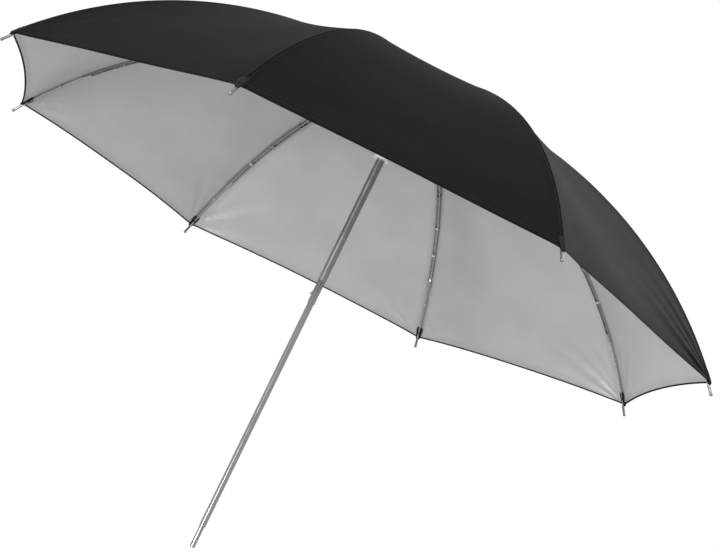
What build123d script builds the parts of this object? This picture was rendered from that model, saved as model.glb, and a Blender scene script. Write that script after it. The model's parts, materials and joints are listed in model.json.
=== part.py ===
from build123d import *
import os
from math import asin, atan2, cos, degrees, hypot, radians, sin, sqrt, tan

# A collapsible reflector umbrella for studio lights, open, in millimetres.
# +Z runs along the shaft towards the canopy. The origin is at the lower end of
# the 8 mm tube, where a light's umbrella clamp grips; the end tip hangs below it.

# ---- canopy -------------------------------------------------------------
rib_count = 8
sector = 360 / rib_count          # angle between neighbouring ribs
half_sector = sector / 2
tip_radius = 480.0                # shaft axis to a canopy corner
rib_arc_radius = 560.0            # every rib bends on this circle
rib_arc_offset = 41.5             # and the circle's centre is this far off axis
fabric_thickness = 1.2
rim_scallop = 8.0                 # each gore's edge pulls in this much
seam_gap = 0.1                    # half the gap between two sewn gores
apex_hole_gap = 0.83              # shaft to the edge of the canopy's central hole

# ---- shaft --------------------------------------------------------------
lower_tube_radius = 4.0
lower_tube_wall = 0.6
lower_tube_relief = 0.2           # radius taken off the length that runs inside the liner
relief_gap = 0.5                  # the full radius stops this far below the liner
end_tip_length = 27.0
end_tip_radius = 3.2
end_tip_spigot = 15.0
end_tip_chamfer = 0.6
liner_radius = 4.65
liner_bottom = 297.5              # end of the liner that shows below the upper tube
upper_tube_bottom = 328.5
upper_tube_wall = 0.5
liner_insert = 12.0               # how far the liner is pressed into the upper tube
bush_length = 8.0
bush_gap = 0.3                    # liner's top to the bush
running_gap = 0.08                # radial clearance of a sliding fit
seat_gap = 0.02                   # radial clearance of a fixed fit
flute_width = 2.6                 # groove that keys the lower tube against turning
flute_depth = 1.6
catch_angle = -half_sector        # the catches and flute sit between two ribs

# ---- crown and runner -----------------------------------------------------
pivot_radius = 11.0               # radius of both hinge wires
hinge_wire_radius = 0.6
hinge_clearance = 0.1             # pin to eye, all round
notch_width = 3.6
crown_radius = 14.0
crown_pivot_height = 596.5
apex_above_pivot = 8.193          # canopy's highest point over the crown's hinge wire
crown_height = 12.7
crown_below_pivot = 6.0
crown_roof = 2.0                  # solid disc above the notches
tube_above_apex = 0.3             # the upper tube ends just past the canopy
cap_radius = 11.0                 # brim that clamps the canopy's centre
cap_brim = 1.2
cap_neck_radius = 6.5
cap_neck_height = 2.8
cap_top_radius = 3.4
cap_height = 10.6
cap_chamfer = 1.6
cap_plug = 8.0                    # part that is pressed into the upper tube
open_gap = 86.5                   # crown's hinge wire to the runner's, umbrella open
runner_travel = 198.0
runner_flange_radius = 14.0
runner_flange_height = 8.0
runner_sleeve_radius = 8.8
runner_below_pivot = 13.5
runner_above_pivot = 15.0
runner_lip_radius = 10.4
runner_lip_height = 2.6
keyway_width = 3.4
hub_chamfer = 0.7

# ---- sprung catches ---------------------------------------------------------
catch_width = 2.2
catch_leaf_thickness = 0.5
catch_leaf_length = 14.0
catch_wedge_height = 2.4
catch_wedge_length = 6.0
catch_slot_gap = 0.15
closed_catch_height = 311.0
catch_above_pivot = 4.0           # the open catch over the runner's hinge wire

# ---- frame ------------------------------------------------------------------
fabric_to_rib = 1.1               # canopy's inner face to the back of a rib
rib_depth = 3.2
rib_width = 4.4
rib_wall = 0.45
knuckle_width = 5.2
knuckle_depth = 4.0
hinge_reach = 254.0               # radius where the stretcher meets the outer rib
knuckle_reach = 333.0             # radius of the rivet at the knuckle's end
wire_reach = 61.0                 # how much of the rib's reach is bare wire
wire_seat = 12.0                  # length of wire held inside the channel
rib_wire_radius = 1.1
tail_length = 13.0                # outer rib inboard of its hinge, for the link rod
eye_radius = 1.5
pin_radius = 0.8
stretcher_depth = 3.0
stretcher_wall = 0.5
top_rib_width = 5.0
top_rib_depth = 3.0
top_rib_wall = 0.55
fork_length = 46.0                # end of the top rib that has no web
blade_width = 3.0                 # flattened end that sits in a notch
blade_length = 8.0
blade_root = 2.0                  # blade that runs on into the channel
solid_end = 7.0                   # length of a channel's end that is closed
side_gap = 0.3                    # between links that pass side by side
link_rod_radius = 0.7
rod_eye_thickness = 1.1
link_pin_radius = 0.6
link_drop = 3.5                   # link pivot below the top rib's line
link_setback = 12.0               # and back from the knee pin
closed_knee_radius = 17.0         # shaft axis to the knee pin, folded
rib_tip_length = 8.0
rib_tip_radius = 1.7
rib_ball_radius = 2.1

# ---- worked out from the above ------------------------------------------------
apex_height = crown_pivot_height + apex_above_pivot
arc_centre_height = apex_height - rib_arc_radius
upper_tube_radius = liner_radius + seat_gap + upper_tube_wall
apex_hole_radius = upper_tube_radius + apex_hole_gap
upper_tube_bore = liner_radius + seat_gap
liner_top = upper_tube_bottom + liner_insert
bush_radius = upper_tube_bore - running_gap
lower_tube_top = liner_top + bush_gap + bush_length
crown_bottom = crown_pivot_height - crown_below_pivot
runner_pivot_height = crown_pivot_height - open_gap
open_catch_height = runner_pivot_height + catch_above_pivot
crown_top = crown_bottom + crown_height
upper_tube_top = apex_height + tube_above_apex
channel_reach = tip_radius - wire_reach
rib_back_radius = rib_arc_radius - fabric_thickness - fabric_to_rib
rib_line_radius = rib_back_radius - rib_wall - eye_radius - side_gap


def on_arc(radius, reach):
    """Height of the rib circle of this radius at this distance from the shaft axis."""
    return arc_centre_height + sqrt(radius**2 - (reach - rib_arc_offset)**2)


def direction(start, end):
    return atan2(end[1] - start[1], end[0] - start[0])


def along(start, angle, distance):
    return (start[0] + distance * cos(angle), start[1] + distance * sin(angle))


# Pivots in a rib's own plane, as (distance from shaft axis, height), umbrella open.
crown_pivot = (pivot_radius, crown_pivot_height)
runner_pivot = (pivot_radius, runner_pivot_height)
rib_hinge = (hinge_reach, on_arc(rib_line_radius, hinge_reach))
stretcher_angle = direction(runner_pivot, rib_hinge)
stretcher_length = hypot(rib_hinge[0] - runner_pivot[0], rib_hinge[1] - runner_pivot[1])

# The knee pin joins the top rib to the stretcher. Its place along the stretcher
# is the one that brings both links home, folded, at closed_knee_radius.
closed_gap = open_gap + runner_travel
knee_offset = closed_knee_radius - pivot_radius
rise = (closed_gap**2 - open_gap**2) / (2 * closed_gap)
slope = open_gap * sin(stretcher_angle) / closed_gap
knee_distance = (rise * slope + sqrt((rise * slope)**2 + (1 - slope**2) * (knee_offset**2 + rise**2))) / (
    1 - slope**2)
knee = along(runner_pivot, stretcher_angle, knee_distance)
top_rib_angle = direction(crown_pivot, knee)
top_rib_length = hypot(knee[0] - crown_pivot[0], knee[1] - crown_pivot[1])
link_inner = along(along(knee, top_rib_angle, -link_setback), top_rib_angle - radians(90), link_drop)
tail_angle = -asin((hinge_reach - rib_arc_offset) / rib_line_radius)
link_outer = along(rib_hinge, tail_angle, -tail_length)
link_angle = direction(link_inner, link_outer)

os.makedirs("parts", exist_ok=True)


def rib_plane(angle=0.0):
    """Upright plane through the shaft axis: local x points outwards, local y up."""
    a = radians(angle)
    return Plane(origin=(0, 0, 0), x_dir=(cos(a), sin(a), 0), z_dir=(sin(a), -cos(a), 0))


def save(builder, name):
    builder.part.label = name
    export_step(builder.part, f"parts/{name}.step")


def middle(start, end):
    return ((start[0] + end[0]) / 2, (start[1] + end[1]) / 2)


# ---- shaft ----------------------------------------------------------------------
def flute_frame(height):
    """Plane across the shaft whose x axis points at the flute and the catches."""
    return Plane(origin=(0, 0, height), x_dir=(cos(radians(catch_angle)), sin(radians(catch_angle)), 0),
                 z_dir=(0, 0, 1))


flute_floor = lower_tube_radius - flute_depth
lower_tube_bore = lower_tube_radius - lower_tube_wall
relieved_radius = lower_tube_radius - lower_tube_relief
clamped_length = liner_bottom - relief_gap

with BuildPart() as shaft_lower_tube:
    with BuildSketch(flute_frame(0)):
        Circle(lower_tube_radius)
        Circle(lower_tube_bore, mode=Mode.SUBTRACT)
        with Locations((flute_floor - lower_tube_wall, 0)):
            Rectangle(flute_depth, flute_width + 2 * lower_tube_wall, align=(Align.MIN, Align.CENTER))
        with Locations((flute_floor, 0)):
            Rectangle(2 * flute_depth, flute_width, align=(Align.MIN, Align.CENTER), mode=Mode.SUBTRACT)
    extrude(amount=lower_tube_top)
    with BuildSketch(Plane.XY.offset(clamped_length)):
        Circle(lower_tube_radius + 1)
        Circle(relieved_radius, mode=Mode.SUBTRACT)
    extrude(amount=lower_tube_top - clamped_length, mode=Mode.SUBTRACT)
save(shaft_lower_tube, "shaft_lower_tube")

with BuildPart() as shaft_end_tip:
    with BuildSketch(Plane.XY.offset(-end_tip_length)):
        Circle(end_tip_radius)
    extrude(amount=end_tip_length)
    chamfer(shaft_end_tip.edges().sort_by(Axis.Z)[0], length=end_tip_chamfer)
    with BuildSketch(flute_frame(0)):
        Circle(lower_tube_bore - seat_gap)
        with Locations((flute_floor - lower_tube_wall - seat_gap, 0)):
            Rectangle(2 * flute_depth, flute_width + 2 * (lower_tube_wall + seat_gap),
                      align=(Align.MIN, Align.CENTER), mode=Mode.SUBTRACT)
    extrude(amount=end_tip_spigot)
save(shaft_end_tip, "shaft_end_tip")

with BuildPart() as shaft_guide_bush:
    with BuildSketch(Plane.XY.offset(lower_tube_top - bush_length)):
        Circle(bush_radius)
        Circle(relieved_radius + seat_gap, mode=Mode.SUBTRACT)
    extrude(amount=bush_length)
save(shaft_guide_bush, "shaft_guide_bush")


def tube_with_slot(bottom, top, outer, inner, slot_height):
    """A round tube with the slot that one catch works through."""
    with BuildPart() as tube:
        with BuildSketch(Plane.XY.offset(bottom)):
            Circle(outer)
            Circle(inner, mode=Mode.SUBTRACT)
        extrude(amount=top - bottom)
        with BuildSketch(flute_frame(slot_height - catch_slot_gap)):
            Rectangle(2 * outer, catch_width + 2 * catch_slot_gap, align=(Align.MIN, Align.CENTER))
        extrude(amount=catch_leaf_length + 2 * catch_slot_gap, mode=Mode.SUBTRACT)
    return tube


shaft_liner_tube = tube_with_slot(liner_bottom, liner_top, liner_radius, lower_tube_radius + running_gap,
                                  closed_catch_height - catch_leaf_length / 2)
save(shaft_liner_tube, "shaft_liner_tube")

shaft_upper_tube = tube_with_slot(upper_tube_bottom, upper_tube_top, upper_tube_radius, upper_tube_bore,
                                  open_catch_height - catch_leaf_length / 2)
save(shaft_upper_tube, "shaft_upper_tube")


# ---- catches: a spring leaf in the tube's wall with a folded wedge ------------------
def spring_catch(height, surface, points_up):
    """The wedge slopes towards one end, so that the runner rides over it that way."""
    flip = 1 if points_up else -1
    foot = surface - catch_leaf_thickness
    with BuildPart() as catch:
        with BuildSketch(rib_plane(catch_angle)):
            with Locations((foot, height)):
                Rectangle(catch_leaf_thickness, catch_leaf_length, align=(Align.MIN, Align.CENTER))
            with BuildLine():
                Polyline((surface - catch_leaf_thickness / 2, height - flip * catch_wedge_length / 2),
                         (surface + catch_wedge_height, height - flip * catch_wedge_length / 2),
                         (surface - catch_leaf_thickness / 2, height + flip * catch_wedge_length / 2),
                         close=True)
            make_face()
        extrude(amount=catch_width / 2, both=True)
    return catch


closed_catch = spring_catch(closed_catch_height, liner_radius, True)
save(closed_catch, "closed_catch")
open_catch = spring_catch(open_catch_height, upper_tube_radius, False)
save(open_catch, "open_catch")


# ---- notched hubs -------------------------------------------------------------------
def hinge_wire(height, radius):
    with BuildPart() as wire:
        with BuildSketch(Plane.XZ):
            with Locations((pivot_radius, height)):
                Circle(radius)
        revolve(axis=Axis.Z)
    return wire


def cut_notches(bottom, top):
    """One radial notch for each rib, cut into the hub being built."""
    with BuildSketch(Plane.XY.offset(bottom)) as notches:
        with PolarLocations(pivot_radius - eye_radius - side_gap, rib_count):
            Rectangle(crown_radius, notch_width, align=(Align.MIN, Align.CENTER))
    extrude(notches.sketch, amount=top - bottom, mode=Mode.SUBTRACT)


crown_wire = hinge_wire(crown_pivot_height, hinge_wire_radius)
save(crown_wire, "crown_wire")
wire_groove = hinge_wire(crown_pivot_height, hinge_wire_radius + seat_gap)

with BuildPart() as crown:
    with BuildSketch(Plane.XY.offset(crown_bottom)):
        Circle(crown_radius)
        Circle(upper_tube_radius + seat_gap, mode=Mode.SUBTRACT)
    extrude(amount=crown_height)
    chamfer(crown.edges().filter_by(GeomType.CIRCLE).sort_by(SortBy.RADIUS)[-2:], length=hub_chamfer)
    cut_notches(crown_bottom, crown_top - crown_roof)
    add(wire_groove.part, mode=Mode.SUBTRACT)
save(crown, "crown")

with BuildPart() as crown_cap:
    cap_floor = upper_tube_top + seat_gap
    plug_radius = upper_tube_bore - seat_gap
    with BuildSketch(Plane.XZ):
        with BuildLine():
            Polyline((0, cap_floor - cap_plug), (plug_radius, cap_floor - cap_plug), (plug_radius, cap_floor),
                     (cap_radius, cap_floor), (cap_radius, cap_floor + cap_brim),
                     (cap_neck_radius, cap_floor + cap_neck_height),
                     (cap_top_radius + cap_chamfer, cap_floor + cap_height - cap_chamfer),
                     (cap_top_radius, cap_floor + cap_height), (0, cap_floor + cap_height), close=True)
        make_face()
    revolve(axis=Axis.Z)
save(crown_cap, "crown_cap")

runner_wire = hinge_wire(runner_pivot_height, hinge_wire_radius)
save(runner_wire, "runner_wire")
wire_groove = hinge_wire(runner_pivot_height, hinge_wire_radius + seat_gap)
runner_bottom = runner_pivot_height - runner_below_pivot
runner_top = runner_pivot_height + runner_above_pivot
keyway_radius = upper_tube_radius + catch_wedge_height + side_gap

with BuildPart() as runner:
    flange_bottom = runner_pivot_height - runner_flange_height / 2
    flange_top = runner_pivot_height + runner_flange_height / 2
    bore = upper_tube_radius + running_gap
    with BuildSketch(Plane.XZ):
        with BuildLine():
            Polyline((bore, runner_bottom), (runner_lip_radius, runner_bottom),
                     (runner_lip_radius, runner_bottom + runner_lip_height),
                     (runner_sleeve_radius, runner_bottom + runner_lip_height + hub_chamfer),
                     (runner_sleeve_radius, flange_bottom), (runner_flange_radius - hub_chamfer, flange_bottom),
                     (runner_flange_radius, flange_bottom + hub_chamfer),
                     (runner_flange_radius, flange_top - hub_chamfer),
                     (runner_flange_radius - hub_chamfer, flange_top), (runner_sleeve_radius, flange_top),
                     (runner_sleeve_radius, runner_top - hub_chamfer),
                     (runner_sleeve_radius - hub_chamfer, runner_top), (bore, runner_top), close=True)
        make_face()
    revolve(axis=Axis.Z)
    with BuildSketch(flute_frame(runner_bottom)):
        Rectangle(keyway_radius, keyway_width, align=(Align.MIN, Align.CENTER))
    extrude(amount=runner_top - runner_bottom, mode=Mode.SUBTRACT)
    cut_notches(flange_bottom - 1, flange_top + 1)
    add(wire_groove.part, mode=Mode.SUBTRACT)
save(runner, "runner")


# ---- links of one rib, built at angle 0 and turned to each place ----------------------
rod_lane = max(knuckle_width, top_rib_width) / 2 + side_gap + link_rod_radius
pin_hole_radius = pin_radius + hinge_clearance
wire_eye_radius = hinge_wire_radius + 2 * hinge_clearance   # the wire is bent, so its eye is looser


def link_outline(start, end, depth, start_setback=0.0):
    """Side view of a straight link, round at its end and, without a setback, at its start."""
    angle = direction(start, end)
    first = along(start, angle, start_setback)
    length = hypot(end[0] - first[0], end[1] - first[1])
    with Locations(Location(middle(first, end), degrees(angle))):
        Rectangle(length, depth)
    with Locations(end):
        Circle(depth / 2)
    if not start_setback:
        with Locations(start):
            Circle(depth / 2)


def hollow(start, angle, first, last, depth, width, web):
    """Cut a link's channel from its underside (web > 0 is left on top) or its upper side (web < 0)."""
    centre = along(along(start, angle, (first + last) / 2), angle + radians(90), -web)
    with BuildSketch(rib_plane()) as channel:
        with Locations(Location(centre, degrees(angle))):
            Rectangle(last - first, depth)
    extrude(channel.sketch, amount=width / 2, both=True, mode=Mode.SUBTRACT)


def pin_hole(at, radius, width):
    with BuildSketch(rib_plane()) as hole:
        with Locations(at):
            Circle(radius)
    extrude(hole.sketch, amount=width, both=True, mode=Mode.SUBTRACT)


# The top rib straddles the stretcher: a channel that ends in a fork.
with BuildPart() as top_rib:
    with BuildSketch(rib_plane()):
        link_outline(crown_pivot, knee, top_rib_depth, blade_length)
    extrude(amount=top_rib_width / 2, both=True)
    fork_start = top_rib_length - fork_length
    inner_width = top_rib_width - 2 * top_rib_wall
    hollow(crown_pivot, top_rib_angle, blade_length + solid_end, top_rib_length, top_rib_depth,
           inner_width, top_rib_wall)
    hollow(crown_pivot, top_rib_angle, fork_start, top_rib_length + top_rib_depth, 2 * top_rib_depth,
           inner_width, 0)
    with BuildSketch(rib_plane()):
        link_outline(crown_pivot, along(crown_pivot, top_rib_angle, blade_length + blade_root), top_rib_depth)
    extrude(amount=blade_width / 2, both=True)
    with BuildSketch(rib_plane().offset(top_rib_width / 2 - top_rib_wall)):
        with Locations(link_inner):
            Circle(eye_radius)
        with Locations(Location(along(link_inner, top_rib_angle + radians(90), link_drop / 2),
                                degrees(top_rib_angle))):
            Rectangle(2 * eye_radius, link_drop)
    extrude(amount=top_rib_wall)
    pin_hole(crown_pivot, wire_eye_radius, top_rib_width)
    pin_hole(knee, pin_hole_radius, top_rib_width)
    pin_hole(link_inner, pin_hole_radius, top_rib_width)

with BuildPart() as stretcher:
    with BuildSketch(rib_plane()):
        link_outline(runner_pivot, rib_hinge, stretcher_depth)
    extrude(amount=blade_width / 2, both=True)
    hollow(runner_pivot, stretcher_angle, solid_end, stretcher_length - solid_end, stretcher_depth,
           blade_width - 2 * stretcher_wall, -stretcher_wall)
    pin_hole(runner_pivot, wire_eye_radius, blade_width)
    pin_hole(knee, pin_hole_radius, blade_width)
    pin_hole(rib_hinge, pin_hole_radius, blade_width)


# The outer rib follows the canopy's arc: its sections are turned about the arc's centre.
arc_axis = Axis((rib_arc_offset, 0, arc_centre_height), (0, 1, 0))
rib_wire_line = rib_back_radius - rib_depth / 2


def arc_angle(reach, radius=rib_back_radius):
    return asin((reach - rib_arc_offset) / radius)


def arc_plane(angle):
    """Plane across the rib: x points away from the arc's centre, z along the rib, outwards."""
    return Plane(origin=(rib_arc_offset, 0, arc_centre_height), x_dir=(sin(angle), 0, cos(angle)),
                 z_dir=(cos(angle), 0, -sin(angle)))


def arc_bar(first, last, width, depth, back, mode=Mode.ADD):
    with BuildSketch(arc_plane(first)) as section:
        with Locations((back, 0)):
            Rectangle(depth, width, align=(Align.MAX, Align.CENTER))
    revolve(section.sketch, axis=arc_axis, revolution_arc=degrees(last - first), mode=mode)


tail_start = arc_angle(hinge_reach) - (tail_length + 2 * eye_radius) / rib_back_radius
knuckle_end = arc_angle(knuckle_reach) + 2 * eye_radius / rib_back_radius
channel_end = arc_angle(channel_reach)
wire_end = arc_angle(tip_radius, rib_wire_line)
seat_angle = wire_seat / rib_back_radius
knuckle_pin = (rib_arc_offset + rib_line_radius * sin(arc_angle(knuckle_reach)),
               arc_centre_height + rib_line_radius * cos(arc_angle(knuckle_reach)))

with BuildPart() as outer_rib:
    arc_bar(tail_start, knuckle_end, knuckle_width, knuckle_depth, rib_back_radius)
    arc_bar(knuckle_end - seat_angle, channel_end, rib_width, rib_depth, rib_back_radius)
    arc_bar(tail_start - seat_angle, channel_end - seat_angle, rib_width - 2 * rib_wall, 2 * knuckle_depth,
            rib_back_radius - rib_wall, Mode.SUBTRACT)
    with BuildSketch(arc_plane(channel_end - seat_angle)):
        with Locations((rib_wire_line, 0)):
            Circle(rib_wire_radius)
    revolve(axis=arc_axis, revolution_arc=degrees(wire_end - channel_end + seat_angle))
    with BuildSketch(rib_plane()):
        with Locations(rib_hinge, knuckle_pin):
            Circle(pin_radius)
    extrude(amount=knuckle_width / 2, both=True)
    with BuildSketch(rib_plane()):
        with Locations(knuckle_pin):
            Circle(eye_radius)
    extrude(amount=knuckle_width / 2 + side_gap, both=True)
    pin_hole(link_outer, link_pin_radius + running_gap, knuckle_width)

with BuildPart() as rib_tip:
    tip_plane = arc_plane(wire_end)
    tip_origin = tip_plane.from_local_coords((rib_wire_line, 0, 0))
    socket = Plane(origin=tip_origin, x_dir=tip_plane.x_dir, z_dir=tip_plane.z_dir)
    with BuildSketch(socket.offset(-rib_tip_length / 2)):
        Circle(rib_tip_radius)
    extrude(amount=rib_tip_length / 2 + rib_tip_length)
    with Locations(socket.offset(rib_tip_length)):
        Sphere(rib_ball_radius)
    with BuildSketch(socket.offset(-rib_tip_length / 2)):
        Circle(rib_wire_radius + seat_gap)
    extrude(amount=rib_tip_length / 2 + seat_gap, mode=Mode.SUBTRACT)

with BuildPart() as link_rod:
    lane = rib_plane().offset(rod_lane)
    rod_start = along(link_inner, link_angle, pin_hole_radius + side_gap)
    rod_base = lane.from_local_coords((rod_start[0], rod_start[1], 0))
    rod_head = lane.from_local_coords((link_outer[0], link_outer[1], 0))
    with BuildSketch(Plane(origin=rod_base, z_dir=rod_head - rod_base)):
        Circle(link_rod_radius)
    extrude(amount=(rod_head - rod_base).length)
    with BuildSketch(lane.offset(-rod_eye_thickness / 2)):
        with Locations(link_inner, link_outer):
            Circle(eye_radius)
    extrude(amount=rod_eye_thickness)
    pin_hole(link_inner, pin_hole_radius, 2 * rod_lane)
    with BuildSketch(rib_plane().offset(-knuckle_width / 2 - side_gap)):
        with Locations(link_outer):
            Circle(link_pin_radius)
    extrude(amount=knuckle_width / 2 + side_gap + rod_lane)

for number in range(rib_count):
    for link, name in ((top_rib, "top_rib"), (stretcher, "stretcher"), (outer_rib, "outer_rib"),
                       (rib_tip, "rib_tip"), (link_rod, "link_rod")):
        with BuildPart() as turned:
            add(link.part.rotate(Axis.Z, -number * sector))
        save(turned, f"{name}_{number + 1}")


# ---- canopy: one gore between each two ribs -------------------------------------------
# Seen along the gore, its section is the rib's own curve narrowed by the half sector,
# so that each sewn edge lies on the circle that the ribs follow.
narrowing = cos(radians(half_sector))
rim_angle = asin((tip_radius - rib_arc_offset) / rib_arc_radius)


def gore_edge(depth, reach):
    """The gore's section at this depth under its outer face."""
    radius = rib_arc_radius - depth
    EllipticalCenterArc((rib_arc_offset * narrowing, arc_centre_height), radius * narrowing, radius,
                        start_angle=90 - degrees(reach), arc_size=degrees(reach))


with BuildPart() as gore:
    with BuildSketch(rib_plane()):
        with BuildLine():
            gore_edge(0, rim_angle)
            gore_edge(fabric_thickness, rim_angle)
            Line((0, apex_height), (rib_arc_offset * narrowing, apex_height))
            Line((0, apex_height - fabric_thickness), (rib_arc_offset * narrowing, apex_height - fabric_thickness))
            Line((0, apex_height), (0, apex_height - fabric_thickness))
            Line((rib_arc_offset * narrowing + rib_arc_radius * narrowing * sin(rim_angle),
                  arc_centre_height + rib_arc_radius * cos(rim_angle)),
                 (rib_arc_offset * narrowing + (rib_arc_radius - fabric_thickness) * narrowing * sin(rim_angle),
                  arc_centre_height + (rib_arc_radius - fabric_thickness) * cos(rim_angle)))
        make_face()
    extrude(amount=tip_radius / 2, both=True)
    with BuildSketch(Plane.XY):
        past_rim = 1.2 * tip_radius
        shift = seam_gap / sin(radians(half_sector))
        spread = past_rim * tan(radians(half_sector))
        Polygon((shift, 0), (shift + past_rim, spread), (shift + past_rim, -spread), align=None)
    extrude(amount=apex_height + rib_arc_radius, mode=Mode.INTERSECT)
    half_chord = tip_radius * sin(radians(half_sector))
    scallop_radius = (half_chord**2 + rim_scallop**2) / (2 * rim_scallop)
    with BuildSketch(Plane.XY):
        with Locations((tip_radius * narrowing - rim_scallop + scallop_radius, 0)):
            Circle(scallop_radius)
        Circle(apex_hole_radius)
    extrude(amount=apex_height + rib_arc_radius, mode=Mode.SUBTRACT)

for number in range(rib_count):
    with BuildPart() as turned:
        add(gore.part.rotate(Axis.Z, -(number + 0.5) * sector))
    save(turned, f"canopy_gore_{number + 1}")
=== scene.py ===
import bpy
import json
import math
import numpy as np
from mathutils import Matrix, Vector


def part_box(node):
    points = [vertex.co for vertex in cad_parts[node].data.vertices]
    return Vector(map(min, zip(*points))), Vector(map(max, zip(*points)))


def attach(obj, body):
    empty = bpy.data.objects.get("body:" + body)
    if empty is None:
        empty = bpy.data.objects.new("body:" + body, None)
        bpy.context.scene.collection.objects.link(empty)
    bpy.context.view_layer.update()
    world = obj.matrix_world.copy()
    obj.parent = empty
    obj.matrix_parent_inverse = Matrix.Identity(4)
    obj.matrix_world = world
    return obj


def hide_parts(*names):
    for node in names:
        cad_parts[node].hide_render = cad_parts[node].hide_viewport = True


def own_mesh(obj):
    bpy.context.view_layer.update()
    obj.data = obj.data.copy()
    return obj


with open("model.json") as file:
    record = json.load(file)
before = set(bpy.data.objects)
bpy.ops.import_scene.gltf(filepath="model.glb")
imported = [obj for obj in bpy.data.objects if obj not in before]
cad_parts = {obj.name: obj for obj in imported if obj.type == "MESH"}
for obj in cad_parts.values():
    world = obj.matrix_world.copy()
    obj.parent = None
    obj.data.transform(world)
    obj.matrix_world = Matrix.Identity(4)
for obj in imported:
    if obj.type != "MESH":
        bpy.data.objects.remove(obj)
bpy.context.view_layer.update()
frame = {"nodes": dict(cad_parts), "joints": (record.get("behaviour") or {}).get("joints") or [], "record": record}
scene = bpy.context.scene
ribCount = 8
sector = 2 * math.pi / ribCount
cosHalf, sinHalf, tanHalf = math.cos(sector / 2), math.sin(sector / 2), math.tan(sector / 2)
joints = {joint["name"]: joint for joint in frame["joints"]}


# Small helpers
def ribAngle(rib):
    return -(rib - 1) * sector  # rib 1 lies on +X and the numbers run clockwise seen from above


def smooth(low, high, value):
    share = np.clip((value - low) / (high - low), 0, 1)
    return share * share * (3 - 2 * share)


# Rotates an array of points about the shaft
def turn(points, angle):
    c, s = math.cos(angle), math.sin(angle)
    return points @ np.array([[c, s, 0], [-s, c, 0], [0, 0, 1]])


def addObject(name, mesh):
    made = bpy.data.objects.new(name, mesh)
    scene.collection.objects.link(made)
    return made


def smoothFaces(mesh):
    mesh.polygons.foreach_set("use_smooth", [True] * len(mesh.polygons))
    mesh.update()


# Materials
def addNode(tree, kind, inputs=None, **settings):
    made = tree.nodes.new(kind)
    for name, value in settings.items():
        setattr(made, name, value)
    for name, value in (inputs or {}).items():
        if isinstance(value, bpy.types.NodeSocket):
            tree.links.new(value, made.inputs[name])
        else:
            made.inputs[name].default_value = value
    return made


def newMaterial(name, **shader):
    material = bpy.data.materials.new(name)
    material.use_nodes = True
    tree = material.node_tree
    surface = tree.nodes["Principled BSDF"]
    for socket, value in shader.items():
        surface.inputs[socket.replace("_", " ")].default_value = value
    return material, tree, surface


def mapRange(tree, value, low, high, newLow=0.0, newHigh=1.0):
    return addNode(tree, "ShaderNodeMapRange", {"Value": value, "From Min": low, "From Max": high,
                                                "To Min": newLow, "To Max": newHigh}).outputs["Result"]


def calculate(tree, operation, first, second=0.0, third=0.0):
    return addNode(tree, "ShaderNodeMath", {0: first, 1: second, 2: third}, operation=operation).outputs[0]


def mixColours(tree, share, first, second):
    mixed = addNode(tree, "ShaderNodeMix", {"Factor": share}, data_type="RGBA")
    for socket, value in ((mixed.inputs[6], first), (mixed.inputs[7], second)):
        if isinstance(value, bpy.types.NodeSocket):
            tree.links.new(value, socket)
        else:
            socket.default_value = value
    return mixed.outputs[2]


def grey(value, warmth=0.0):
    return (value * (1 + warmth), value, value * (1 - warmth), 1)


def noise(tree, vector, scale, detail=3.0, roughness=0.5):
    return addNode(tree, "ShaderNodeTexNoise", {"Vector": vector, "Scale": scale, "Detail": detail,
                                                "Roughness": roughness}).outputs["Fac"]


clothLooks = {"threadPitch": 0.00045, "slub": 260.0, "slubStretch": 9, "mottle": 9.0, "roughnessSpread": 0.06,
              "puckerPitch": 0.0065, "puckerReach": 0.016, "puckerWander": 9.0, "creases": 22.0,
              "creaseDepth": 0.00028, "allowance": 0.008}


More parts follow.
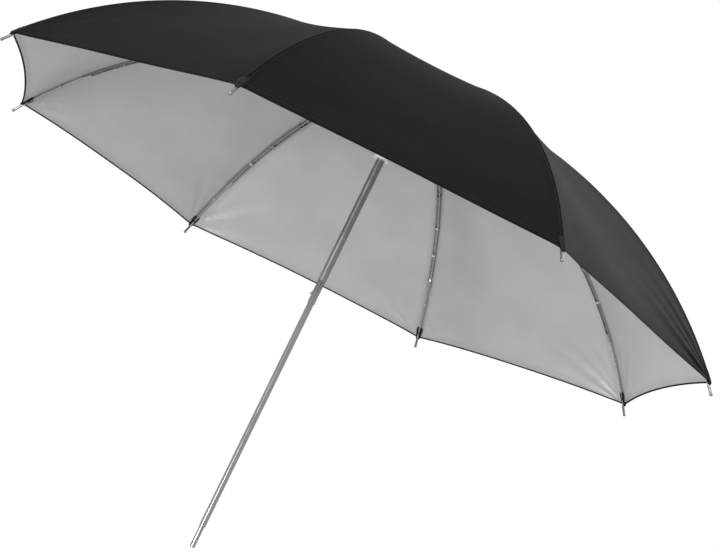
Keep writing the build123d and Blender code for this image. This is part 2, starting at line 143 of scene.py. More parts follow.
# Plain-woven cloth. UV map flat is in metres across and along a gore
# UV map edge holds the distances to the seam and to the rim
def clothMaterial(name, dark, pale, roughness, weaveDepth, shadedSeam, **shader):
    material, tree, surface = newMaterial(name, **shader)
    flat = addNode(tree, "ShaderNodeUVMap", uv_map="flat").outputs["UV"]
    distances = addNode(tree, "ShaderNodeUVMap", uv_map="edge").outputs["UV"]
    edge = addNode(tree, "ShaderNodeSeparateXYZ", {0: distances})
    seam, rim = edge.outputs["X"], edge.outputs["Y"]
    axes = addNode(tree, "ShaderNodeSeparateXYZ", {0: flat})
    turns = 2 * math.pi / clothLooks["threadPitch"]
    warp = calculate(tree, "SINE", calculate(tree, "MULTIPLY", axes.outputs["X"], turns))
    weft = calculate(tree, "SINE", calculate(tree, "MULTIPLY", axes.outputs["Y"], turns))
    weave = calculate(tree, "MULTIPLY", warp, weft)
    stretch = clothLooks["slubStretch"]
    lengthways = addNode(tree, "ShaderNodeMapping", {"Vector": flat, "Scale": (stretch, 1, 1)}).outputs[0]
    sideways = addNode(tree, "ShaderNodeMapping", {"Vector": flat, "Scale": (1, stretch, 1)}).outputs[0]
    slub = noise(tree, lengthways, clothLooks["slub"], 4)
    cross = noise(tree, sideways, clothLooks["slub"], 4)
    mottle = noise(tree, flat, clothLooks["mottle"], 4)
    yarn = calculate(tree, "ADD", slub, cross)
    share = calculate(tree, "MULTIPLY_ADD", yarn, 0.35, calculate(tree, "MULTIPLY", mottle, 0.55))
    colour = mixColours(tree, mapRange(tree, share, 0.38, 0.92), dark, pale)
    stitched = calculate(tree, "MINIMUM", seam, rim)
    shade = mapRange(tree, stitched, 0.0, clothLooks["allowance"] * 1.5, shadedSeam, 1.0)
    darker = addNode(tree, "ShaderNodeVectorMath", {0: colour, 1: addNode(
        tree, "ShaderNodeCombineXYZ", {"X": shade, "Y": shade, "Z": shade}).outputs[0]}, operation="MULTIPLY")
    tree.links.new(darker.outputs[0], surface.inputs["Base Color"])
    spread = clothLooks["roughnessSpread"]
    uneven = mapRange(tree, yarn, 0.7, 1.3, roughness - spread, roughness + spread)
    tree.links.new(uneven, surface.inputs["Roughness"])
    along = calculate(tree, "MULTIPLY", axes.outputs["Y"], 2 * math.pi / clothLooks["puckerPitch"])
    wander = calculate(tree, "MULTIPLY_ADD", noise(tree, flat, 45.0, 2), clothLooks["puckerWander"], along)
    near = calculate(tree, "POWER", mapRange(tree, seam, 0.0, clothLooks["puckerReach"], 1.0, 0.0), 1.6)
    pucker = calculate(tree, "MULTIPLY", calculate(tree, "SINE", wander), near)
    creases = noise(tree, flat, clothLooks["creases"], 5, 0.55)
    fine = addNode(tree, "ShaderNodeBump", {"Height": calculate(tree, "MULTIPLY_ADD", yarn, 0.6, weave),
                                            "Distance": weaveDepth, "Strength": 0.5})
    soft = addNode(tree, "ShaderNodeBump", {"Height": calculate(tree, "MULTIPLY_ADD", creases, 1.2, pucker),
                                            "Distance": clothLooks["creaseDepth"], "Strength": 0.55,
                                            "Normal": fine.outputs[0]})
    tree.links.new(soft.outputs[0], surface.inputs["Normal"])
    return material


metalLooks = {"scratchShare": 0.6, "clouds": 55.0, "dullest": 1.35, "brightest": 0.7, "scratchDepth": 0.00003}
plasticLooks = {"flow": 70.0, "spark": 2600.0, "roughnessSpread": 0.07, "depth": 0.00006}


# Drawn metal: fine scratches along the drawing direction, cloudy patches and a little dulling
def metalMaterial(name, dark, pale, roughness, grain, stretch, **shader):
    material, tree, surface = newMaterial(name, Metallic=1.0, **shader)
    place = addNode(tree, "ShaderNodeTexCoord").outputs["Object"]
    drawn = addNode(tree, "ShaderNodeMapping", {"Vector": place, "Scale": stretch}).outputs[0]
    lines = noise(tree, drawn, grain, 5, 0.6)
    clouds = noise(tree, place, metalLooks["clouds"], 4)
    scratchShare = metalLooks["scratchShare"]
    cloudShare = calculate(tree, "MULTIPLY", clouds, 1 - scratchShare)
    colour = mixColours(tree, calculate(tree, "MULTIPLY_ADD", lines, scratchShare, cloudShare), dark, pale)
    tree.links.new(colour, surface.inputs["Base Color"])
    worn = calculate(tree, "MULTIPLY_ADD", lines, 0.5, calculate(tree, "MULTIPLY", clouds, 0.5))
    brightest, dullest = roughness * metalLooks["brightest"], roughness * metalLooks["dullest"]
    uneven = mapRange(tree, worn, 0.3, 0.7, brightest, dullest)
    tree.links.new(uneven, surface.inputs["Roughness"])
    bump = addNode(tree, "ShaderNodeBump", {"Height": lines, "Distance": metalLooks["scratchDepth"],
                                            "Strength": 0.35})
    tree.links.new(bump.outputs[0], surface.inputs["Normal"])
    return material


# Moulded plastic: faint flow marks, a fine sparked texture and handling marks
def plasticMaterial(name, dark, pale, roughness, **shader):
    material, tree, surface = newMaterial(name, **shader)
    place = addNode(tree, "ShaderNodeTexCoord").outputs["Object"]
    flow = noise(tree, place, plasticLooks["flow"], 4)
    spark = noise(tree, place, plasticLooks["spark"], 2)
    tree.links.new(mixColours(tree, mapRange(tree, flow, 0.3, 0.7), dark, pale), surface.inputs["Base Color"])
    spread = plasticLooks["roughnessSpread"]
    uneven = mapRange(tree, flow, 0.3, 0.7, roughness - spread, roughness + spread)
    tree.links.new(uneven, surface.inputs["Roughness"])
    bump = addNode(tree, "ShaderNodeBump", {"Height": calculate(tree, "MULTIPLY_ADD", spark, 0.3, flow),
                                            "Distance": plasticLooks["depth"], "Strength": 0.4})
    tree.links.new(bump.outputs[0], surface.inputs["Normal"])
    return material


lengthwise, allRound = (1, 1, 0.02), (1, 1, 1)
looks = {
    "blackCloth": clothMaterial("black_cloth", grey(0.008, 0.01), grey(0.016, 0.01), 0.62, 0.00007, 0.75,
                                Specular_IOR_Level=0.02),
    "silverCloth": clothMaterial("silver_cloth", grey(0.46, 0.006), grey(0.62, 0.006), 0.42, 0.00006, 0.80,
                                 Metallic=0.5, Specular_IOR_Level=0.3),
    "blackThread": plasticMaterial("black_thread", grey(0.010), grey(0.03), 0.7),
    "silverThread": plasticMaterial("silver_thread", grey(0.42), grey(0.6), 0.6),
    "chrome": metalMaterial("bright_chrome", grey(0.20), grey(0.32), 0.18, 900.0, lengthwise),
    "satin": metalMaterial("satin_grey", grey(0.24), grey(0.36), 0.36, 1200.0, lengthwise),
    "ribSteel": metalMaterial("plated_rib_steel", grey(0.38), grey(0.56), 0.28, 700.0, allRound),
    "springSteel": metalMaterial("spring_steel", grey(0.34, 0.02), grey(0.50, 0.02), 0.28, 900.0, allRound),
    "tipMetal": metalMaterial("nickel_tip", grey(0.16, 0.02), grey(0.26, 0.02), 0.3, 900.0, allRound),
    "whiteNylon": plasticMaterial("white_nylon", grey(0.70, 0.015), grey(0.80, 0.01), 0.42,
                                  Subsurface_Weight=0.08),
    "blackPlastic": plasticMaterial("black_plastic", grey(0.014), grey(0.024), 0.36),
    "blackPocket": plasticMaterial("pocket_cloth", grey(0.007), grey(0.016), 0.8, Specular_IOR_Level=0.2),
}
slotLooks = {"chrome_tube": "chrome", "satin_tube": "satin", "white_nylon": "whiteNylon",
             "black_plastic": "blackPlastic", "spring_steel": "springSteel", "rib_tip_metal": "tipMetal",
             "rib_steel": "ribSteel"}


def finishCadNodes():
    slotOf = {row["node"]: row["material_slot"] for row in frame["record"]["subparts"]}
    for name, node in frame["nodes"].items():
        slot = slotOf.get(name)
        if slot in slotLooks:
            for materialSlot in node.material_slots:
                materialSlot.material = looks[slotLooks[slot]]


finishCadNodes()
print("materials made:", len(looks))

# Canopy
canopySizes = {"tipRadius": 0.480, "ribArcRadius": 0.560, "ribArcOffset": 0.0415, "thickness": 0.0006,
               "fabricMiddle": 0.0006, "hole": 0.0063, "splitReach": 0.228, "scallop": 0.0045, "dip": 0.0165,
               "rimEase": 0.70, "rimEaseStart": 0.7, "ridge": 0.0005, "ridgeWidth": (0.0006, 0.0018),
               "allowance": 0.00025, "allowanceWidth": (0.0072, 0.0088), "hem": 0.0002,
               "hemWidth": (0.0062, 0.0076), "piping": 0.0016, "columns": 38, "rows": 46}
wrinkleSizes = {"seed": 40, "height": 0.0011, "reach": 0.06, "start": (0.004, 0.03), "folds": 3,
                "foldHeight": (0.4, 1.0), "foldTurns": (11, 24), "strength": (0.55, 1.25), "stretch": 1.5}
slackSizes = {"seed": 90, "height": 0.0006, "waves": 5, "along": 45, "across": 30}
fullTurn = 6.28
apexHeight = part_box("canopy_gore_1")[1].z
arcCentreHeight = apexHeight - canopySizes["ribArcRadius"]
rimX = canopySizes["tipRadius"] * cosHalf


def ribHeight(reach):
    beyond = np.maximum(reach - canopySizes["ribArcOffset"], 0)
    return arcCentreHeight + np.sqrt(canopySizes["ribArcRadius"]**2 - beyond**2)


# The rim in plan: each gore's edge is pulled in between its two corners
def rimLine(y):
    halfChord, pull = canopySizes["tipRadius"] * sinHalf, canopySizes["scallop"]
    radius = (halfChord**2 + pull**2) / (2 * pull)
    return rimX - pull + radius - np.sqrt(radius**2 - np.minimum(np.abs(y), halfChord)**2)


def steepness(x):
    beyond = np.maximum(x / cosHalf - canopySizes["ribArcOffset"], 0)
    return beyond / np.sqrt(canopySizes["ribArcRadius"]**2 - beyond**2) / cosHalf


def edgeDistances(x, y):
    seam = np.abs(x * tanHalf - np.abs(y)) * cosHalf
    rim = (rimLine(y) - x) * np.sqrt(1 + steepness(x)**2)
    return seam, rim


# Folds that fan out from the two corners where the cloth is stretched over the ribs' tips
def cornerWrinkles(gore, x, y):
    sizes = wrinkleSizes
    draws = np.random.default_rng(sizes["seed"] + gore)
    total = np.zeros_like(x)
    for corner in (1, -1):
        inward = (rimX - x) * sizes["stretch"]
        across = canopySizes["tipRadius"] * sinHalf - corner * y
        distance, angle = np.hypot(inward, across), np.arctan2(across, inward)
        first = math.atan2(sinHalf, sizes["stretch"] * cosHalf)
        share = np.clip((angle - first) / (math.pi / 2 - first), 0, 1)
        folds = sum(draws.uniform(*sizes["foldHeight"])
                    * np.sin(draws.uniform(*sizes["foldTurns"]) * angle + draws.uniform(0, fullTurn))
                    for _ in range(sizes["folds"]))
        strength = draws.uniform(*sizes["strength"]) * sizes["height"]
        fade = np.exp(-distance / sizes["reach"]) * smooth(*sizes["start"], distance)
        total += strength * folds * fade * np.sin(math.pi * share)**0.8
    return total


def looseCloth(gore, x, y):
    sizes = slackSizes
    draws = np.random.default_rng(sizes["seed"] + gore)
    total = np.zeros_like(x)
    for _ in range(sizes["waves"]):
        alongWave, acrossWave = (draws.uniform(-sizes[way], sizes[way]) for way in ("along", "across"))
        total += np.sin(alongWave * x + acrossWave * y + draws.uniform(0, fullTurn))
    return sizes["height"] * total / 2


# A point of gore's cloth in its own plan: x along its middle, y across. side is 1 outside and -1 inside
def clothPoint(gore, x, y, side):
    reach = x / cosHalf
    share = reach / canopySizes["tipRadius"]
    across = np.clip(y / np.maximum(x * tanHalf, 1e-6), -1, 1)
    free = 1 - across**2
    ease = canopySizes["rimEase"] * smooth(canopySizes["rimEaseStart"], 1.0, share)
    dip = canopySizes["dip"] * share**2 * (1 - ease) * free
    seam, rim = edgeDistances(x, y)
    thick = canopySizes["thickness"] / 2 + canopySizes["hem"] * (1 - smooth(*canopySizes["hemWidth"], rim))
    if side > 0:
        thick = thick + canopySizes["ridge"] * (1 - smooth(*canopySizes["ridgeWidth"], seam))
    else:
        thick = thick + canopySizes["allowance"] * (1 - smooth(*canopySizes["allowanceWidth"], seam))
    lift = side * thick - dip - canopySizes["fabricMiddle"]
    lift = lift + (cornerWrinkles(gore, x, y) + looseCloth(gore, x, y) * share) * np.minimum(free * 3, 1)
    slope = steepness(x)
    length = np.sqrt(1 + slope**2)
    return np.stack([x + lift * slope / length, y, ribHeight(reach) + lift / length], -1)


def clothNormal(gore, x, y, side):
    step = 0.0004
    alongX = clothPoint(gore, x + step, y, side) - clothPoint(gore, x - step, y, side)
    alongY = clothPoint(gore, x, y + step, side) - clothPoint(gore, x, y - step, side)
    normal = np.cross(alongX, alongY)
    return side * normal / np.linalg.norm(normal, axis=-1, keepdims=True)


# Plan coordinates of half a gore: columns from its rib to its middle, rows from the crown to the rim
def halfGoreGrid(outer, hand):
    sizes = canopySizes
    seamColumns = np.array([0, 0.0007, 0.0013, 0.0019, 0.0070, 0.0080, 0.0090])
    rest = np.linspace(0, 1, sizes["columns"])[1:]
    start = (sizes["splitReach"] if outer else sizes["hole"]) * cosHalf

    def acrossAt(x):
        width = x * tanHalf
        fixed = seamColumns[:, None] * np.minimum(1, width / 0.03)
        last = fixed[-1]
        return hand * (width - np.concatenate([fixed, last + rest[:, None] * (width - last)]))

    columns = len(seamColumns) + len(rest)
    end = np.full(columns, (sizes["tipRadius"] if outer else sizes["splitReach"]) * cosHalf)
    if outer:
        for _ in range(12):
            end = rimLine(np.diagonal(acrossAt(end)))
        hemRows = [0.962, 0.972, 0.978, 0.983, 0.9895, 0.9945, 1]
        rows = np.concatenate([np.linspace(0, 0.95, sizes["rows"]), hemRows])
    else:
        rows = np.linspace(0, 1, sizes["rows"])
    x = start + rows[:, None] * (end[None, :] - start)
    y = np.stack([np.diagonal(acrossAt(row)) for row in x])
    return x, y


def goreAngle(gore):
    return -(gore - 0.5) * sector


# Half a gore as a closed thin sheet: black outside, silver inside. hand 1 is the half at rib number gore
def makeHalfGore(gore, hand, outer):
    x, y = halfGoreGrid(outer, hand)
    rows, columns = x.shape
    count = rows * columns
    points = np.concatenate([clothPoint(gore, x, y, side).reshape(-1, 3) for side in (1, -1)])
    normals = np.concatenate([clothNormal(gore, x, y, side).reshape(-1, 3) for side in (1, -1)])
    points, normals = turn(points, goreAngle(gore)), turn(normals, goreAngle(gore))
    number = np.arange(count).reshape(rows, columns)
    quads = np.stack([number[:-1, :-1], number[1:, :-1], number[1:, 1:], number[:-1, 1:]], -1).reshape(-1, 4)
    if hand > 0:
        quads = quads[:, ::-1]
    inner = quads[:, ::-1] + count
    border = np.concatenate([number[:, 0], number[-1, 1:], number[-2::-1, -1], number[0, -2:0:-1]])
    following = np.roll(border, -1)
    wall = np.stack([border, following, following + count, border + count], -1)
    if hand < 0:
        wall = wall[:, ::-1]
    faces = np.concatenate([quads, inner, wall])
    name = f"canopy_{'outer' if outer else 'inner'}_{gore}_{'a' if hand > 0 else 'b'}"
    mesh = bpy.data.meshes.new(name)
    mesh.from_pydata(points.tolist(), [], faces.tolist())
    for look in ("blackCloth", "silverCloth"):
        mesh.materials.append(looks[look])
    seam, rim = edgeDistances(x, y)
    piping = rim.reshape(-1)[quads].mean(1) < canopySizes["piping"]
    index = np.concatenate([np.zeros(len(quads)), np.where(piping, 0, 1), np.zeros(len(wall))])
    mesh.polygons.foreach_set("material_index", index.astype(int).tolist())
    arc = canopySizes["ribArcRadius"] * np.arcsin(np.clip(x / cosHalf / canopySizes["ribArcRadius"], 0, 1))
    corner = np.zeros(len(mesh.loops), int)
    mesh.loops.foreach_get("vertex_index", corner)
    for layer, pair in (("flat", (y, arc)), ("edge", (seam, np.maximum(rim, 0)))):
        values = np.stack([pair[0].reshape(-1), pair[1].reshape(-1)], -1)[corner % count]
        mesh.uv_layers.new(name=layer).data.foreach_set("uv", values.reshape(-1).tolist())
    smoothFaces(mesh)
    mesh.normals_split_custom_set_from_vertices(normals.tolist())
    return addObject(name, mesh)


def radial(angle):
    return Vector((math.cos(angle), math.sin(angle), 0))


# The inner cloth rides on the upper shaft, and the outer cloth rides on its rib
def placeCloth(piece, gore, hand, outer):
    if not outer:
        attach(piece, "upper_shaft")
        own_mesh(piece)
        return
    rib = gore if hand > 0 else gore % ribCount + 1
    outward = radial(ribAngle(rib))
    across = Vector((-outward.y, outward.x, 0)) * -hand
    first, last = canopySizes["splitReach"], canopySizes["tipRadius"]
    start = outward * first + Vector((0, 0, float(ribHeight(first))))
    end = outward * last + Vector((0, 0, float(ribHeight(last))))
    inward = (start - end).cross(across).normalized()
    if inward.z > 0:
        inward = -inward
    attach(piece, f"outer_rib_{rib}")
    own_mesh(piece)


# Stitches
stitchSizes = {"spacing": 0.0032, "length": 0.0025, "radius": 0.00021, "seed": 7, "unevenness": (0.88, 1.1),
               "outsideFromSeam": 0.0026, "insideFromSeam": 0.0064, "fromRim": 0.0056}


def newTree(name, sockets):
    tree = bpy.data.node_groups.new(name, "GeometryNodeTree")
    tree.interface.new_socket(name="Geometry", in_out="INPUT", socket_type="NodeSocketGeometry")
    tree.interface.new_socket(name="Geometry", in_out="OUTPUT", socket_type="NodeSocketGeometry")
    found = {}
    for socketName, kind in sockets.items():
        socket = tree.interface.new_socket(name=socketName, in_out="INPUT", socket_type=kind)
        found[socketName] = socket.identifier
    return tree, tree.nodes.new("NodeGroupInput"), found


def endTree(tree, geometry, material):
    real = addNode(tree, "GeometryNodeRealizeInstances", {"Geometry": geometry})
    shaded = addNode(tree, "GeometryNodeSetShadeSmooth", {"Geometry": real.outputs[0]})
    finished = addNode(tree, "GeometryNodeSetMaterial", {"Geometry": shaded.outputs[0], "Material": material})
    tree.links.new(finished.outputs[0], tree.nodes.new("NodeGroupOutput").inputs[0])


def makeStitchTree():
    floatSocket, materialSocket = "NodeSocketFloat", "NodeSocketMaterial"
    tree, given, found = newTree("stitches", {"Spacing": floatSocket, "Length": floatSocket,
                                              "Radius": floatSocket, "Thread": materialSocket})
    curve = addNode(tree, "GeometryNodeMeshToCurve", {"Mesh": given.outputs["Geometry"]})
    spaced = addNode(tree, "GeometryNodeResampleCurve", {
        "Curve": curve.outputs[0], "Length": given.outputs["Spacing"]}, mode="LENGTH")
    aim = addNode(tree, "FunctionNodeAlignRotationToVector",
                  {"Vector": addNode(tree, "GeometryNodeInputTangent").outputs[0]}, axis="Z")
    ball = addNode(tree, "GeometryNodeMeshUVSphere", {"Segments": 6, "Rings": 4, "Radius": 1.0})
    half = addNode(tree, "ShaderNodeMath", {0: given.outputs["Length"], 1: 0.5}, operation="MULTIPLY")
    size = addNode(tree, "ShaderNodeCombineXYZ", {"X": given.outputs["Radius"], "Y": given.outputs["Radius"],
                                                  "Z": half.outputs[0]})
    uneven = addNode(tree, "FunctionNodeRandomValue", {"Seed": stitchSizes["seed"]}, data_type="FLOAT")
    uneven.inputs[2].default_value, uneven.inputs[3].default_value = stitchSizes["unevenness"]
    scaled = addNode(tree, "ShaderNodeVectorMath", {0: size.outputs[0]}, operation="SCALE")
    tree.links.new(uneven.outputs[1], scaled.inputs["Scale"])
    stitched = addNode(tree, "GeometryNodeInstanceOnPoints", {
        "Points": spaced.outputs[0], "Instance": ball.outputs["Mesh"], "Rotation": aim.outputs[0],
        "Scale": scaled.outputs[0]})
    endTree(tree, stitched.outputs[0], given.outputs["Thread"])
    return tree, found


# Runs a Geometry Nodes tree on a mesh and returns the result as a plain mesh piece
def runTree(name, mesh, tree, found, values):
    source = addObject(name, mesh)
    modifier = source.modifiers.new("made", "NODES")
    modifier.node_group = tree
    for socketName, value in values.items():
        modifier[found[socketName]] = value
    evaluated = source.evaluated_get(bpy.context.evaluated_depsgraph_get())
    made = bpy.data.meshes.new_from_object(evaluated)
    source.modifiers.remove(modifier)
    source.data = made
    made.name = name
    return source


stitchTree, stitchInputs = makeStitchTree()


# A row of stitches beside the rib seam, at a set distance from it
def seamPath(gore, hand, outer, side, fromSeam):
    first, last = 0.024, canopySizes["splitReach"] - 0.002
    if outer:
        first, last = canopySizes["splitReach"] + 0.002, canopySizes["tipRadius"] - 0.012
    x = np.linspace(first, last, 60) * cosHalf
    return clothPoint(gore, x, hand * (x * tanHalf - fromSeam / cosHalf), side)


def hemPath(gore, hand, side, fromRim):
    y = hand * np.linspace(canopySizes["tipRadius"] * sinHalf - 0.012, 0.001, 50)
    x = rimLine(y)
    for _ in range(3):
        x = rimLine(y) - fromRim / np.sqrt(1 + steepness(x)**2)
    return clothPoint(gore, x, y, side)


# side 1 is the black thread outside and -1 the silver thread inside
def makeStitches(gore, hand, outer, side):
    fromSeam = stitchSizes["outsideFromSeam" if side > 0 else "insideFromSeam"]
    paths = [seamPath(gore, hand, outer, side, fromSeam)]
    if outer:
        paths.append(hemPath(gore, hand, side, stitchSizes["fromRim"]))
    points, edges, start = [], [], 0
    for path in paths:
        points.append(path)
        edges += [(start + i, start + i + 1) for i in range(len(path) - 1)]
        start += len(path)
    ring = "outer" if outer else "inner"
    half = "a" if hand > 0 else "b"
    face = "out" if side > 0 else "in"
    name = f"stitches_{ring}_{gore}_{half}_{face}"
    mesh = bpy.data.meshes.new(name)
    mesh.from_pydata(turn(np.concatenate(points), goreAngle(gore)).tolist(), edges, [])
    thread = looks["blackThread"] if side > 0 else looks["silverThread"]
    return runTree(name, mesh, stitchTree, stitchInputs, {
        "Spacing": stitchSizes["spacing"], "Length": stitchSizes["length"], "Radius": stitchSizes["radius"],
        "Thread": thread})


for gore in range(1, ribCount + 1):
    for hand in (1, -1):
        for outer in (False, True):
            cloth = makeHalfGore(gore, hand, outer)
            stitching = [makeStitches(gore, hand, outer, side) for side in (1, -1)]
            for piece in [cloth, *stitching]:
                placeCloth(piece, gore, hand, outer)
            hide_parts(f"canopy_gore_{gore}")
            rib = gore if hand > 0 else gore % ribCount + 1
print("canopy sewn:", 2 * ribCount, "half gores in two rings")

# Tip pockets
pocketSizes = {"length": 0.019, "past": 0.0015, "width": 0.0105, "endWidth": 0.0062, "height": 0.0058,
               "drop": 0.0022, "around": 28, "stations": 12}


# A small black sleeve sewn on the canopy's corner, which holds the rib's tip
def makePocket(rib):
    sizes = pocketSizes
    radius = canopySizes["ribArcRadius"] - sizes["drop"]
    last = math.asin((canopySizes["tipRadius"] - canopySizes["ribArcOffset"]) / canopySizes["ribArcRadius"])
    rings = []
    turnsRound = np.linspace(0, 2 * math.pi, sizes["around"], endpoint=False)
    for station in range(sizes["stations"]):
        share = station / (sizes["stations"] - 1)
        angle = last + (sizes["past"] - sizes["length"] * (1 - share)) / radius
        puff = math.sqrt(max(1 - (2 * share - 1)**6, 0.02))
        width = (sizes["width"] * (1 - share) + sizes["endWidth"] * share) / 2 * (0.75 + 0.25 * puff)
        height = sizes["height"] / 2 * (0.5 + 0.5 * puff) * (1 - 0.2 * share)
        across = width * np.sign(np.cos(turnsRound)) * np.abs(np.cos(turnsRound))**0.8
        depth = height * np.sign(np.sin(turnsRound)) * np.abs(np.sin(turnsRound))**0.9
        depth = depth + 0.00025 * np.sin(5 * turnsRound + station * 1.3)
        reach = canopySizes["ribArcOffset"] + (radius + depth) * math.sin(angle)
        rings.append(np.stack([reach, across, arcCentreHeight + (radius + depth) * math.cos(angle)], -1))
    around = sizes["around"]
    points = np.concatenate(rings)
    faces = []
    for station in range(len(rings) - 1):
        for i in range(around):
            j = (i + 1) % around
            a, b = station * around, (station + 1) * around
            faces.append((a + i, a + j, b + j, b + i))
    faces += [tuple(range(around))[::-1], tuple(range((len(rings) - 1) * around, len(rings) * around))]
    mesh = bpy.data.meshes.new(f"tip_pocket_{rib}")
    mesh.from_pydata(turn(points, ribAngle(rib)).tolist(), [], faces)
    mesh.materials.append(looks["blackPocket"])
    smoothFaces(mesh)
    piece = addObject(f"tip_pocket_{rib}", mesh)
    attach(piece, f"outer_rib_{rib}")


for rib in range(1, ribCount + 1):
    makePocket(rib)
print("tip pockets made")

# Rivets and thread ties on the frame
pinSizes = {"radius": 0.0008, "head": 0.00145, "dome": 0.5, "knucklePast": 0.0006, "kneePast": 0.0002,
            "linkWidth": 0.0019, "linkRadius": 0.0006, "linkInset": 0.0004}


def makePinTree():
    floatSocket = "NodeSocketFloat"
    tree, given, found = newTree("headed_pins", {"Width": floatSocket, "Radius": floatSocket,
                                                 "Head": floatSocket, "Metal": "NodeSocketMaterial"})
    shank = addNode(tree, "GeometryNodeMeshCylinder", {"Vertices": 20, "Radius": given.outputs["Radius"],
                                                       "Depth": given.outputs["Width"]})
    ball = addNode(tree, "GeometryNodeMeshUVSphere", {"Segments": 20, "Rings": 10,
                                                      "Radius": given.outputs["Head"]})
    half = addNode(tree, "ShaderNodeMath", {0: given.outputs["Width"], 1: 0.5}, operation="MULTIPLY")
    joined = addNode(tree, "GeometryNodeJoinGeometry")
    tree.links.new(shank.outputs["Mesh"], joined.inputs[0])
    for sign in (1, -1):
        lifted = addNode(tree, "ShaderNodeMath", {0: half.outputs[0], 1: float(sign)}, operation="MULTIPLY")
        place = addNode(tree, "ShaderNodeCombineXYZ", {"Z": lifted.outputs[0]})
        head = addNode(tree, "GeometryNodeTransform", {"Geometry": ball.outputs["Mesh"],
                                                       "Translation": place.outputs[0],
                                                       "Scale": (1, 1, pinSizes["dome"])})
        tree.links.new(head.outputs[0], joined.inputs[0])
    axis = addNode(tree, "GeometryNodeInputNamedAttribute", {"Name": "pin_axis"}, data_type="FLOAT_VECTOR")
    aim = addNode(tree, "FunctionNodeAlignRotationToVector", {"Vector": axis.outputs[0]}, axis="Z")
    placed = addNode(tree, "GeometryNodeInstanceOnPoints", {"Points": given.outputs["Geometry"],
                                                            "Instance": joined.outputs[0],
                                                            "Rotation": aim.outputs[0]})
    endTree(tree, placed.outputs[0], given.outputs["Metal"])
    return tree, found


pinTree, pinInputs = makePinTree()


# A point in a rib's own upright plane; aside is to the rib's right, seen from the shaft
def inPlane(rib, reach, height, aside=0.0):
    outward = radial(ribAngle(rib))
    return outward * reach + Vector((outward.y, -outward.x, 0)) * aside + Vector((0, 0, height))


def makePins(name, body, rib, places, width, radius=None):
    mesh = bpy.data.meshes.new(name)
    mesh.from_pydata([tuple(place) for place in places], [], [])
    attribute = mesh.attributes.new("pin_axis", "FLOAT_VECTOR", "POINT")
    axis = inPlane(rib, 0, 0, 1)
    for item in attribute.data:
        item.vector = axis
    radius = radius or pinSizes["radius"]
    piece = runTree(name, mesh, pinTree, pinInputs, {
        "Width": width, "Radius": radius, "Head": radius / pinSizes["radius"] * pinSizes["head"],
        "Metal": looks["springSteel"]})
    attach(piece, body)


frameSizes = {"topRibHalfDepth": 0.0015, "eye": 0.0015, "knuckleWidth": 0.0052, "topRibWidth": 0.005,
              "ribLine": 0.55545, "knuckleReach": 0.333, "lane": 0.0036}
topRibBox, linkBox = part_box("top_rib_1"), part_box("link_rod_1")
knee = (topRibBox[1].x - frameSizes["topRibHalfDepth"], topRibBox[0].z + frameSizes["topRibHalfDepth"])
linkInner = (linkBox[0].x + frameSizes["eye"], linkBox[0].z + frameSizes["eye"])
knucklePin = (frameSizes["knuckleReach"],
              arcCentreHeight + math.sqrt(frameSizes["ribLine"]**2
                                          - (frameSizes["knuckleReach"] - canopySizes["ribArcOffset"])**2))
for rib in range(1, ribCount + 1):
    hinge = Vector(joints[f"outer_rib_{rib}_hinge"]["pos_m"])
    makePins(f"rib_rivets_{rib}", f"outer_rib_{rib}", rib, [hinge, inPlane(rib, *knucklePin)],
             frameSizes["knuckleWidth"] + pinSizes["knucklePast"])
    makePins(f"knee_rivet_{rib}", f"stretcher_{rib}", rib, [inPlane(rib, *knee)],
             frameSizes["topRibWidth"] + pinSizes["kneePast"])
    linkPlace = inPlane(rib, *linkInner, frameSizes["lane"] - pinSizes["linkInset"])
    makePins(f"link_rivet_{rib}", f"link_rod_{rib}", rib, [linkPlace], pinSizes["linkWidth"],
             pinSizes["linkRadius"])
print("rivets made")

tieSizes = {"places": {"hinge": 0.271, "middle": 0.372, "outer": 0.438}, "turns": 5, "pitch": 0.00052,
            "thread": 0.00024, "halfWidth": 0.0028, "halfDepth": 0.0026, "bareHalfWidth": 0.0016,
            "bareHalfDepth": 0.0020, "drop": 0.0040, "bareDrop": 0.0036, "extraTurns": 3}


def makeTieTree():
    floatSocket = "NodeSocketFloat"
    tree, given, found = newTree("thread_ties", {"Turns": floatSocket, "Pitch": floatSocket,
                                                 "Thread": floatSocket, "Half width": floatSocket,
                                                 "Half depth": floatSocket, "Cotton": "NodeSocketMaterial"})
    height = addNode(tree, "ShaderNodeMath", {0: given.outputs["Turns"], 1: given.outputs["Pitch"]},
                     operation="MULTIPLY")
    spiral = addNode(tree, "GeometryNodeCurveSpiral", {"Resolution": 28, "Rotations": given.outputs["Turns"],
                                                       "Start Radius": 1.0, "End Radius": 1.0,
                                                       "Height": height.outputs[0]})
    size = addNode(tree, "ShaderNodeCombineXYZ", {"X": given.outputs["Half depth"],
                                                  "Y": given.outputs["Half width"], "Z": 1.0})
    oval = addNode(tree, "GeometryNodeTransform", {"Geometry": spiral.outputs[0], "Scale": size.outputs[0]})
    profile = addNode(tree, "GeometryNodeCurvePrimitiveCircle", {"Resolution": 8,
                                                                 "Radius": given.outputs["Thread"]})
    wound = addNode(tree, "GeometryNodeCurveToMesh", {
        "Curve": oval.outputs[0], "Profile Curve": profile.outputs["Curve"], "Fill Caps": True})
    endTree(tree, wound.outputs[0], given.outputs["Cotton"])
    return tree, found


tieTree, tieInputs = makeTieTree()


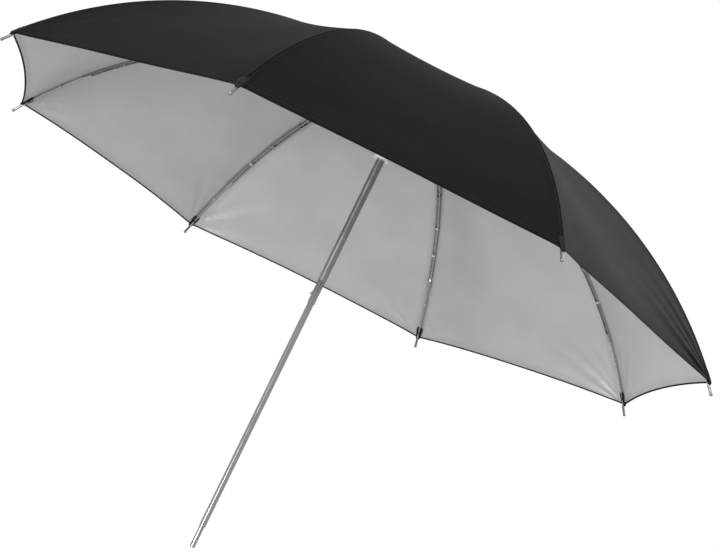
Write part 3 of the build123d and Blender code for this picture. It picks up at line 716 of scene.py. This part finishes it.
# Matrix whose z runs along the rib at this reach and x points out through the canopy
def ribFrame(rib, reach, drop):
    radius = canopySizes["ribArcRadius"] - drop
    angle = math.asin((reach - canopySizes["ribArcOffset"]) / radius)
    outward = radial(ribAngle(rib))
    up = Vector((0, 0, 1))
    normal = outward * math.sin(angle) + up * math.cos(angle)
    along = outward * math.cos(angle) - up * math.sin(angle)
    place = outward * (canopySizes["ribArcOffset"] + radius * math.sin(angle)) + up * (
        arcCentreHeight + radius * math.cos(angle))
    return Matrix.Translation(place) @ Matrix((normal, along.cross(normal), along)).transposed().to_4x4()


def makeTies(rib):
    sizes = tieSizes
    for place, reach in sizes["places"].items():
        bare = place == "outer"
        name = f"thread_tie_{place}_{rib}"
        piece = runTree(name, bpy.data.meshes.new(name), tieTree, tieInputs, {
            "Turns": float(sizes["turns"] + (sizes["extraTurns"] if place == "hinge" else 0)),
            "Pitch": sizes["pitch"], "Thread": sizes["thread"],
            "Half width": sizes["bareHalfWidth" if bare else "halfWidth"],
            "Half depth": sizes["bareHalfDepth" if bare else "halfDepth"],
            "Cotton": looks["blackThread" if place == "hinge" else "silverThread"]})
        piece.data.transform(ribFrame(rib, reach, sizes["bareDrop" if bare else "drop"]))
        piece.data.update()
        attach(piece, f"outer_rib_{rib}")


for rib in range(1, ribCount + 1):
    makeTies(rib)
print("thread ties made")

# Floor, light and camera
stageSizes = {"floorHeight": -0.32, "floorRadius": 2.4, "fade": 1.2, "edges": 96, "lightOnObject": 0.36,
              "lampAim": (0, 0, 0.45)}
lamps = {
    "key": {"place": (0.6, 1.6, 1.9), "size": 1.4, "power": 22.0},
    "fill": {"place": (1.95, 1.4, -0.15), "size": 0.5, "power": 40.0},
    "rim": {"place": (-1.9, -0.6, 1.5), "size": 1.5, "power": 20.0},
}


# 1 for rays from the camera, and for reflections and refractions of the background
def seenDirectly(tree):
    path = addNode(tree, "ShaderNodeLightPath")
    both = calculate(tree, "MAXIMUM", path.outputs["Is Camera Ray"], path.outputs["Is Glossy Ray"])
    return calculate(tree, "MAXIMUM", both, path.outputs["Is Transmission Ray"])


def makeWorld():
    world = bpy.data.worlds.new("studio")
    scene.world = world
    world.use_nodes = True
    tree = world.node_tree
    surface = tree.nodes["Background"]
    strength = mapRange(tree, seenDirectly(tree), 0.0, 1.0, stageSizes["lightOnObject"], 1.0)
    tree.links.new(strength, surface.inputs["Strength"])
    surface.inputs["Color"].default_value = (1, 1, 1, 1)


def makeFloor():
    material, tree, surface = newMaterial("pale_floor", Roughness=0.9)
    place = addNode(tree, "ShaderNodeTexCoord").outputs["Object"]
    grain = noise(tree, place, 180.0, 3)
    tree.links.new(mixColours(tree, grain, grey(0.86), grey(0.90)), surface.inputs["Base Color"])
    spread = addNode(tree, "ShaderNodeVectorMath", {0: place}, operation="LENGTH").outputs["Value"]
    clear = addNode(tree, "ShaderNodeBsdfTransparent")
    faded = addNode(tree, "ShaderNodeMixShader", {
        0: mapRange(tree, spread, stageSizes["fade"], stageSizes["floorRadius"]),
        1: surface.outputs[0], 2: clear.outputs[0]})
    tree.links.new(faded.outputs[0], tree.nodes["Material Output"].inputs["Surface"])
    edges = stageSizes["edges"]
    turns = np.linspace(0, 2 * math.pi, edges, endpoint=False)
    ring = np.stack([np.cos(turns), np.sin(turns), np.zeros(edges)], -1) * stageSizes["floorRadius"]
    mesh = bpy.data.meshes.new("studio_floor")
    mesh.from_pydata((ring + (0, 0, stageSizes["floorHeight"])).tolist(), [], [tuple(range(edges))])
    mesh.materials.append(material)
    addObject("studio_floor", mesh)


def makeLamp(name, place, size, power):
    lamp = bpy.data.lights.new(name, "AREA")
    lamp.shape, lamp.size, lamp.energy = "DISK", size, power
    lampObject = addObject(name, lamp)
    lampObject.location = place
    aim = Vector(stageSizes["lampAim"]) - Vector(place)
    lampObject.rotation_mode = "QUATERNION"
    lampObject.rotation_quaternion = aim.to_track_quat("-Z", "Y")


viewpoint = {"place": (1.016, 2.147, -0.075), "forward": (-0.4355, -0.8824, 0.178),
             "up": (0.462, -0.0494, 0.8855), "lens": 99.1, "sensor": 36.0}


def makeCamera():
    data = bpy.data.cameras.new("camera")
    data.lens, data.sensor_width, data.sensor_fit = viewpoint["lens"], viewpoint["sensor"], "HORIZONTAL"
    data.clip_start, data.clip_end = 0.05, 50
    camera = addObject("camera", data)
    back = -Vector(viewpoint["forward"]).normalized()
    right = Vector(viewpoint["up"]).cross(back).normalized()
    camera.matrix_world = Matrix.Translation(viewpoint["place"]) @ Matrix(
        (right, back.cross(right), back)).transposed().to_4x4()
    scene.camera = camera


makeWorld()
makeFloor()
for lampName, lamp in lamps.items():
    makeLamp(lampName, **lamp)
makeCamera()
scene.view_settings.view_transform = "Standard"
print("studio ready")
